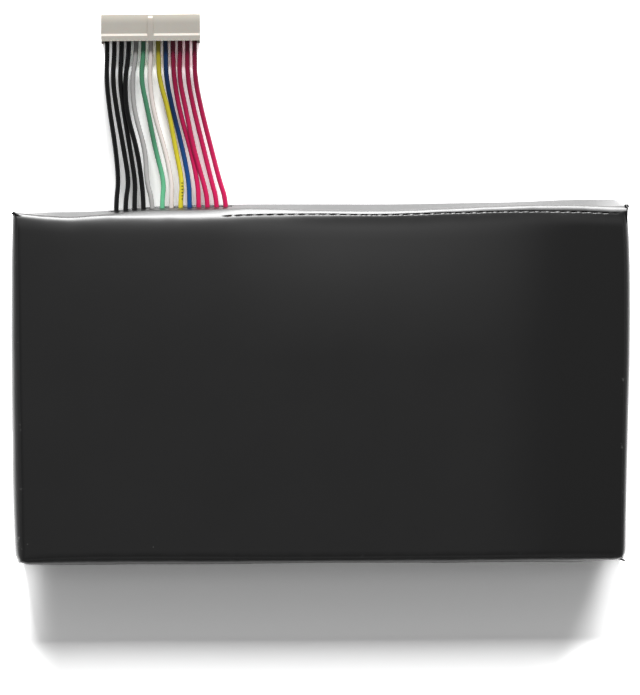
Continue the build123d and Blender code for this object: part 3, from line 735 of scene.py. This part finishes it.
# a painted highlight makes the nylon paler and warmer toward its front edge
front = tree.nodes.new("ShaderNodeMapRange")
front.interpolation_type = "SMOOTHSTEP"
for socket, value in (("From Min", 0.0990), ("From Max", 0.1018)):
    front.inputs[socket].default_value = value
tree.links.new(split.outputs["Y"], front.inputs["Value"])
painted_front_highlight = tree.nodes.new("ShaderNodeMix")
painted_front_highlight.data_type = "RGBA"
painted_front_highlight.inputs["B"].default_value = (0.60, 0.565, 0.49, 1)
tree.links.new(front.outputs[0], painted_front_highlight.inputs["Factor"])
tree.links.new(next(n for n in tree.nodes if n.type == "GROUP").outputs["Color"], painted_front_highlight.inputs["A"])
tree.links.new(painted_front_highlight.outputs["Result"], tree.nodes["Principled BSDF"].inputs["Base Color"])
shell = bpy.data.objects.new("plug_shell", nodes["connector_housing"].data.copy())
bpy.context.scene.collection.objects.link(shell)
bm = bmesh.new()
bm.from_mesh(shell.data)
bmesh.ops.remove_doubles(bm, verts=bm.verts, dist=2e-6)
bmesh.ops.dissolve_limit(bm, angle_limit=math.radians(1), verts=bm.verts, edges=bm.edges)
bm.to_mesh(shell.data)
bm.free()
shell.data.materials.clear()
shell.data.materials.append(off_white_nylon)
rounded = shell.modifiers.new("mould_edges", "BEVEL")
rounded.width, rounded.segments = 0.00022, 3
rounded.limit_method, rounded.angle_limit = "ANGLE", math.radians(30)
rounded.harden_normals = True
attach(shell, "root")
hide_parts("connector_housing")


# Crimp terminals. Folded tin-plated contacts, one in each cavity, crimped on the wires.
tin_plate = finish_with_grain("tin_plate", (0.70, 0.70, 0.69), (0.6, 0.6, 0.59), 900, 0.25, 0.14, 0.15,
                              Metallic=1.0)
dress("crimp_terminals", tin_plate)


# Floor, light and camera. White paper, paler far out, with painted light that lifts its shade beside the pack,
# below the plug and at the middle and ends of the shadow, one wide soft box beyond the lead, a dim room and a
# long lens above.
xs, ys = [], []
for low, high, count in ((-40, -1.6, 1), (-1.3, -0.1, 6), (-0.087, -0.071, 8), (-0.0612, -0.0584, 4),
                         (-0.0331, -0.0303, 4), (0.045, 0.087, 21), (0.1, 1.3, 6), (1.6, 40, 1)):
    xs += [low + (high - low) * k / count for k in range(count + 1)]
for low, high, count in ((-40, -1.6, 1), (-1.3, -0.1, 6), (-0.077, -0.047, 15), (0.0825, 0.0895, 7),
                         (0.0925, 0.0965, 4), (0.13, 1.3, 6), (1.6, 40, 1)):
    ys += [low + (high - low) * k / count for k in range(count + 1)]
width = len(xs)
floor_mesh = bpy.data.meshes.new("floor")
floor_mesh.from_pydata([(x, y, -1e-5) for y in ys for x in xs], [],
                       [(j * width + i, j * width + i + 1, (j + 1) * width + i + 1, (j + 1) * width + i)
                        for j in range(len(ys) - 1) for i in range(width - 1)])
# plain is the paper's even level; beside, below_plug and the shadow terms add painted light that lifts shade,
# and far_off makes the floor paler far out
plain, beside, far_off, below_plug = 1.45, 1.15, 4.5, 4.0
mid_shadow, left_shadow, right_shadow = 0.2, 1.9, 2.4
pale = floor_mesh.attributes.new("pale", "FLOAT", "POINT")
for held, spot in zip(pale.data, floor_mesh.vertices):
    x, y = 1000 * spot.co.x, 1000 * spot.co.y
    away = math.hypot(max(abs(x) - 100, 0), max(-100 - y, y - 130, 0))
    out = -50 - y
    before = ease(-1, 2, out)
    held.value = (plain + beside * ease(73, 85, abs(x)) + far_off * ease(0, 1200, away)
                  + mid_shadow * ease(2, 7, out) * ease(25, 20, out)
                  + left_shadow * ease(76, 83.5, -x) * before * ease(30, 2, out)
                  + right_shadow * ease(76.6 - 0.45 * out, 81.6 - 0.05 * out, x) * before
                  + below_plug * ease(83, 89, y) * ease(96, 93, y) * ease(15, 13, abs(x + 45.75)))
floor = bpy.data.objects.new("floor", floor_mesh)
bpy.context.scene.collection.objects.link(floor)
paper = bpy.data.materials.new("white_paper")
paper.use_nodes = True
tree = paper.node_tree
tree.nodes.remove(tree.nodes["Principled BSDF"])
chalk = tree.nodes.new("ShaderNodeBsdfDiffuse")
path = tree.nodes.new("ShaderNodeLightPath")
seen = path.outputs["Is Camera Ray"]
for kind in ("Is Glossy Ray", "Is Transmission Ray"):
    either = tree.nodes.new("ShaderNodeMath")
    either.operation = "MAXIMUM"
    tree.links.new(seen, either.inputs[0])
    tree.links.new(path.outputs[kind], either.inputs[1])
    seen = either.outputs[0]
paleness = tree.nodes.new("ShaderNodeAttribute")
paleness.attribute_name = "pale"
whiteness = tree.nodes.new("ShaderNodeMix")
whiteness.data_type = "FLOAT"
whiteness.inputs["A"].default_value = 0.93
tree.links.new(seen, whiteness.inputs["Factor"])
tree.links.new(paleness.outputs["Fac"], whiteness.inputs["B"])
tree.links.new(whiteness.outputs["Result"], chalk.inputs["Color"])
tree.links.new(chalk.outputs[0], tree.nodes["Material Output"].inputs["Surface"])
floor_mesh.materials.append(paper)

world = bpy.data.worlds.new("soft_room")
bpy.context.scene.world = world
world.use_nodes = True
tree = world.node_tree
room = tree.nodes["Background"]
direction = tree.nodes.new("ShaderNodeTexCoord")
axes = tree.nodes.new("ShaderNodeSeparateXYZ")
tree.links.new(direction.outputs["Generated"], axes.inputs[0])
sideways = tree.nodes.new("ShaderNodeMath")
sideways.operation = "ABSOLUTE"
tree.links.new(axes.outputs["X"], sideways.inputs[0])
level = None
for axis, near, far, low, high in ((axes.outputs["Z"], 0.2, 0.85, 0.20, 0.13),
                                   (axes.outputs["Y"], 0.55, 0.95, 0.0, 0.6),
                                   (axes.outputs["Y"], -0.86, -0.98, 0.0, 1.0),
                                   (sideways.outputs[0], 0.5, 0.95, 0.0, 0.35)):
    ramp = tree.nodes.new("ShaderNodeMapRange")
    ramp.interpolation_type = "SMOOTHSTEP"
    for socket, value in (("From Min", near), ("From Max", far), ("To Min", low), ("To Max", high)):
        ramp.inputs[socket].default_value = value
    tree.links.new(axis, ramp.inputs["Value"])
    if level is None:
        level = ramp.outputs[0]
    else:
        both = tree.nodes.new("ShaderNodeMath")
        both.operation = "ADD"
        tree.links.new(level, both.inputs[0])
        tree.links.new(ramp.outputs[0], both.inputs[1])
        level = both.outputs[0]
tree.links.new(level, room.inputs["Strength"])
room.inputs["Color"].default_value = (1, 1, 1, 1)

lamp = bpy.data.lights.new("soft_box", "AREA")
lamp.shape, lamp.size, lamp.size_y, lamp.energy = "RECTANGLE", 0.60, 0.176, 18.5
held = bpy.data.objects.new("soft_box", lamp)
bpy.context.scene.collection.objects.link(held)
held.location = (-0.004, 0.95, 0.4745)
held.rotation_euler = (Vector(held.location) - Vector((0, 0, 0.014))).to_track_quat("Z", "Y").to_euler()

lens = bpy.data.cameras.new("long_lens")
lens.lens, lens.clip_end = 225.6, 50
camera = bpy.data.objects.new("camera", lens)
camera.location = (0.00092, 0.12479, 1.2)
camera.rotation_euler = (math.radians(-5.5), 0, math.radians(-0.476))
bpy.context.scene.collection.objects.link(camera)
bpy.context.scene.camera = camera
bpy.context.scene.view_settings.view_transform = "Standard"
